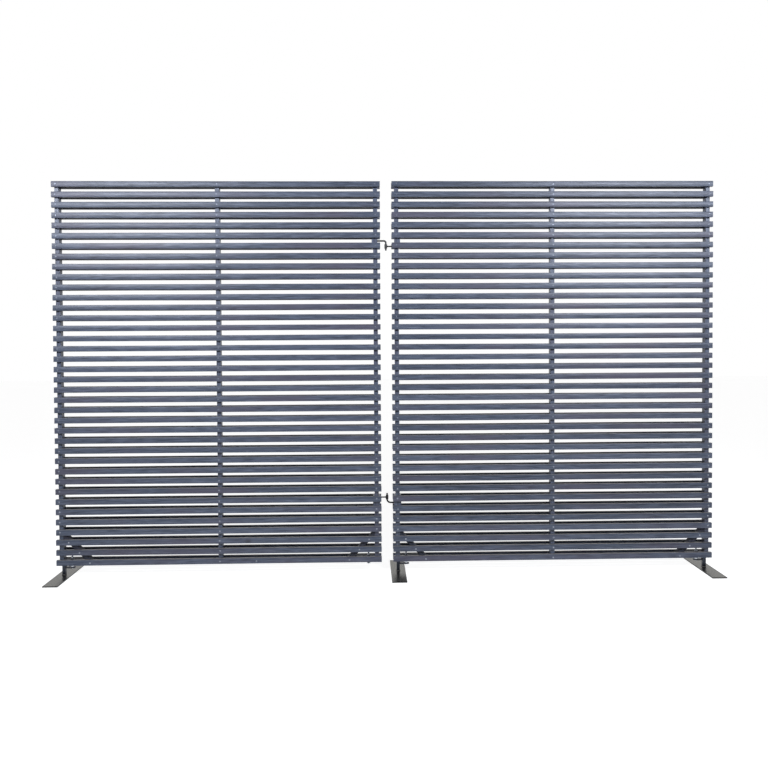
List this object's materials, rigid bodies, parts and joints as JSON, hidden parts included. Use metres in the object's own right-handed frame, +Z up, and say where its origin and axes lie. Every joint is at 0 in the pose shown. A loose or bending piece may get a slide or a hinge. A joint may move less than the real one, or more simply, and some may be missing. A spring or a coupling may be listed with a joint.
{
  "type": "garden privacy screen",
  "caption": "Free-standing garden privacy screen: double-sided slatted timber panels, pin-hinged to each other, on flat steel feet.",
  "frame": {"origin": "on the floor under the hinge axis between the two panels, midway through the thickness", "axes": "+X along the screen to the right as seen from the front, +Y away from the front, +Z up"},
  "size_m": [3.137, 0.33, 1.858],
  "materials": {
    "stained_slats": "blue-grey woodstain, satin",
    "stained_core": "blue-grey woodstain, satin",
    "steel_foot": "oiled hot-rolled flat bar",
    "black_hinge_iron": "black, satin",
    "zinc_fasteners": "zinc plated"
  },
  "bodies": {
    "right_panel": {"middle_foot_plate": "steel_foot", "middle_foot_tab": "steel_foot", "middle_foot_upright": "steel_foot", "right_block_nuts": "zinc_fasteners", "right_block_washers": "zinc_fasteners", "right_foot_bolts": "zinc_fasteners", "right_foot_nuts": "zinc_fasteners", "right_foot_plate": "steel_foot", "right_foot_tab": "steel_foot", "right_foot_upright": "steel_foot", "right_front_slats": "stained_slats", "right_hinge_pads": "stained_core", "right_inner_block": "stained_core", "right_inner_brace": "stained_core", "right_inner_post": "stained_core", "right_lower_hook": "black_hinge_iron", "right_middle_post": "stained_core", "right_outer_block": "stained_core", "right_outer_brace": "stained_core", "right_outer_post": "stained_core", "right_rear_slats": "stained_slats", "right_upper_eye": "black_hinge_iron"},
    "left_panel": {"left_block_nuts": "zinc_fasteners", "left_block_washers": "zinc_fasteners", "left_foot_bolts": "zinc_fasteners", "left_foot_nuts": "zinc_fasteners", "left_foot_plate": "steel_foot", "left_foot_tab": "steel_foot", "left_foot_upright": "steel_foot", "left_front_slats": "stained_slats", "left_hinge_pads": "stained_core", "left_inner_block": "stained_core", "left_inner_brace": "stained_core", "left_inner_post": "stained_core", "left_lower_eye": "black_hinge_iron", "left_middle_post": "stained_core", "left_outer_block": "stained_core", "left_outer_brace": "stained_core", "left_outer_post": "stained_core", "left_rear_slats": "stained_slats", "left_upper_hook": "black_hinge_iron"}
  },
  "joints": [
    {"name": "panel_swing", "type": "hinge", "parent": "right_panel", "child": "left_panel", "pos_m": [0, 0, 0.96], "axis": [0, 0, 1], "range_deg": [-80, 80]}
  ]
}
